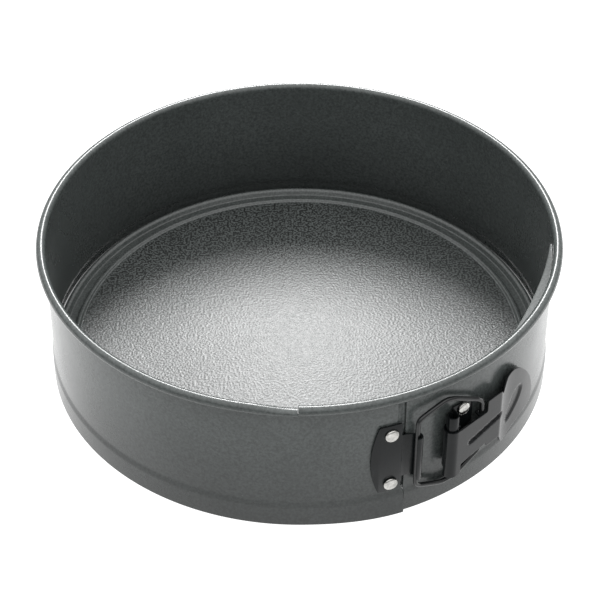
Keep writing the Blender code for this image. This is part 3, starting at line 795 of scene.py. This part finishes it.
def makeBail():
    corners = bail["lower"] + bail["upper"]
    bends = [leg + (eye - leg) * share + Vector((0, 0, height * mm)) for share, height in corners]
    curve = bpy.data.curves.new("bail", "CURVE")
    curve.dimensions = "3D"
    curve.bevel_depth = latch["wire"]
    curve.bevel_resolution = 8
    curve.use_fill_caps = True
    points = filletLine(bends, bail["bend"], 14)
    spline = curve.splines.new("POLY")
    spline.points.add(len(points) - 1)
    for target, point in zip(spline.points, points):
        target.co = (*point, 1.0)
    wire = bpy.data.objects.new("bail", curve)
    bpy.context.scene.collection.objects.link(wire)
    bm = bmesh.new()
    bm.from_mesh(wire.to_mesh())
    bpy.data.objects.remove(wire)
    bmesh.ops.remove_doubles(bm, verts=bm.verts, dist=0.002 * mm)
    return finishPiece("bail_wire", bm, "wire_bail", 50)


rivet = {
    "head": 3.25 * mm,
    "shank": 1.6 * mm,
    "edge": 0.35 * mm,
    "inner": (116.1 * mm, 116.45 * mm),              # shank's inner end, keeper and hinge
    "dome": 1.05 * mm,
    "keeper": ((39.8 * mm, 48.4 * mm), (39.8 * mm, 19.5 * mm)),
    "hinge": ((75.0 * mm, 48.8 * mm), (75.0 * mm, 26.0 * mm)),
}


def makeRivet(nodeName, arc, height):
    # a snap head: a short upright edge under a flattened dome
    seat = latch["plateRadius"] + latch["sheet"] / 2 + 0.1 * mm
    inner, flush = rivet["inner"]
    steps = 14
    profile = []
    for step in range(steps + 1):
        turn = math.pi / 2 * step / steps
        lift = rivet["edge"] + 0.1 * mm + rivet["dome"] * math.cos(turn) ** 0.8
        profile.append((rivet["head"] * math.sin(turn), seat + lift))
    profile += [(rivet["head"], seat + 0.15 * mm), (rivet["head"] - 0.15 * mm, seat), (rivet["shank"], seat)]
    if nodeName.startswith("keeper"):
        profile += [(rivet["shank"], inner), (2.35 * mm, inner), (2.4 * mm, inner - 0.1 * mm),
                    (2.1 * mm, inner - 0.45 * mm), (0, inner - 0.5 * mm)]
    else:
        profile += [(rivet["shank"], flush), (0, flush)]
    bm = turnedPiece(profile, 64, centre=(0, 0, height), axis=directionsAt(angleAt(arc))[1])
    return finishPiece(nodeName + "_set", bm, nodeName)


makeKeeper()
makeHinge()
makeLever()
makeBail()
for kind in ("keeper", "hinge"):
    for place, (arc, height) in zip(("upper", "lower"), rivet[kind]):
        makeRivet(f"{kind}_rivet_{place}", arc, height)


# floor, light and camera
studio = {
    "floorSize": 6.0,
    "floorGlow": 1.75,
    "floorRun": (-0.30, 0.02),    # the sweep glows less in front of the pan than behind it: a painted shade in front of the pan
    "floorFall": ((0.0, 0.3), (0.3, 0.57), (0.55, 0.6), (1.0, 1.0)),
    "floorTint": "#5a5a5a",
    "horizonGlow": 0.3,
    "zenithGlow": 2.0,
    "keyPower": 10.8,
    "keySize": (0.22, 0.44),
    "keyElevation": 41.2,
    "keyDistance": 1.2,
    "keyAim": (0, -0.04, 0),
    "cameraElevation": 40.22,
    "cameraDistance": 0.950,
    "cameraAim": 0.033,
    "lens": 120.66,
    "shift": (0.001, -0.0100),
}


def makeFloor():
    bm = bmesh.new()
    bmesh.ops.create_grid(bm, x_segments=1, y_segments=1, size=studio["floorSize"] / 2)
    mesh = bpy.data.meshes.new("studio_floor")
    bm.to_mesh(mesh)
    bm.free()
    floor = bpy.data.objects.new("studio_floor", mesh)
    bpy.context.scene.collection.objects.link(floor)
    # painted light: the floor glows by itself though it is no lamp, and its glow is painted dimmer in front
    # of the pan as a painted shade
    settings = {"Roughness": 1.0, "Base Color": colour(studio["floorTint"]), "Specular IOR Level": 0.0,
                "Emission Strength": studio["floorGlow"]}
    material, tree, shader, place = newMaterial("glowing white sweep", settings)
    ahead = tree.nodes.new("ShaderNodeSeparateXYZ")
    tree.links.new(place, ahead.inputs["Vector"])
    front, back = studio["floorRun"]
    run = addNode(tree, "MapRange", {"From Min": front, "From Max": back}, {"Value": ahead.outputs["Y"]})
    glow = addNode(tree, "ValToRGB", None, {"Fac": run}, studio["floorFall"])
    tree.links.new(glow, shader.inputs["Emission Color"])
    mesh.materials.append(material)


def makeLight():
    # a surround that brightens overhead, and a softbox above and behind the pan
    world = bpy.data.worlds.new("white studio")
    bpy.context.scene.world = world
    world.use_nodes = True
    tree = world.node_tree
    direction = tree.nodes.new("ShaderNodeTexCoord").outputs["Generated"]
    height = tree.nodes.new("ShaderNodeSeparateXYZ")
    tree.links.new(direction, height.inputs["Vector"])
    glow = addNode(tree, "MapRange", {"From Min": 0.2, "From Max": 0.9, "To Min": studio["horizonGlow"],
                                      "To Max": studio["zenithGlow"]}, {"Value": height.outputs["Z"]})
    background = tree.nodes["Background"]
    background.inputs["Color"].default_value = (1, 1, 1, 1)
    tree.links.new(glow, background.inputs["Strength"])
    key = bpy.data.lights.new("overhead softbox", "AREA")
    key.shape = "RECTANGLE"
    key.size, key.size_y = studio["keySize"]
    key.energy = studio["keyPower"]
    lamp = bpy.data.objects.new("overhead softbox", key)
    bpy.context.scene.collection.objects.link(lamp)
    rise = math.radians(studio["keyElevation"])
    aim = Vector(studio["keyAim"])
    lamp.location = aim + studio["keyDistance"] * Vector((0, math.cos(rise), math.sin(rise)))
    lamp.rotation_euler = (aim - lamp.location).to_track_quat("-Z", "Y").to_euler()


def makeCamera():
    data = bpy.data.cameras.new("camera")
    data.lens = studio["lens"]
    data.sensor_width = 36
    data.shift_x, data.shift_y = studio["shift"]
    camera = bpy.data.objects.new("camera", data)
    bpy.context.scene.collection.objects.link(camera)
    rise = math.radians(studio["cameraElevation"])
    aim = Vector((0, 0, studio["cameraAim"]))
    camera.location = aim + studio["cameraDistance"] * Vector((0, -math.cos(rise), math.sin(rise)))
    camera.rotation_euler = (aim - camera.location).to_track_quat("-Z", "Y").to_euler()
    bpy.context.scene.camera = camera


makeFloor()
makeLight()
makeCamera()
bpy.context.scene.view_settings.view_transform = "Standard"
print("studio set")
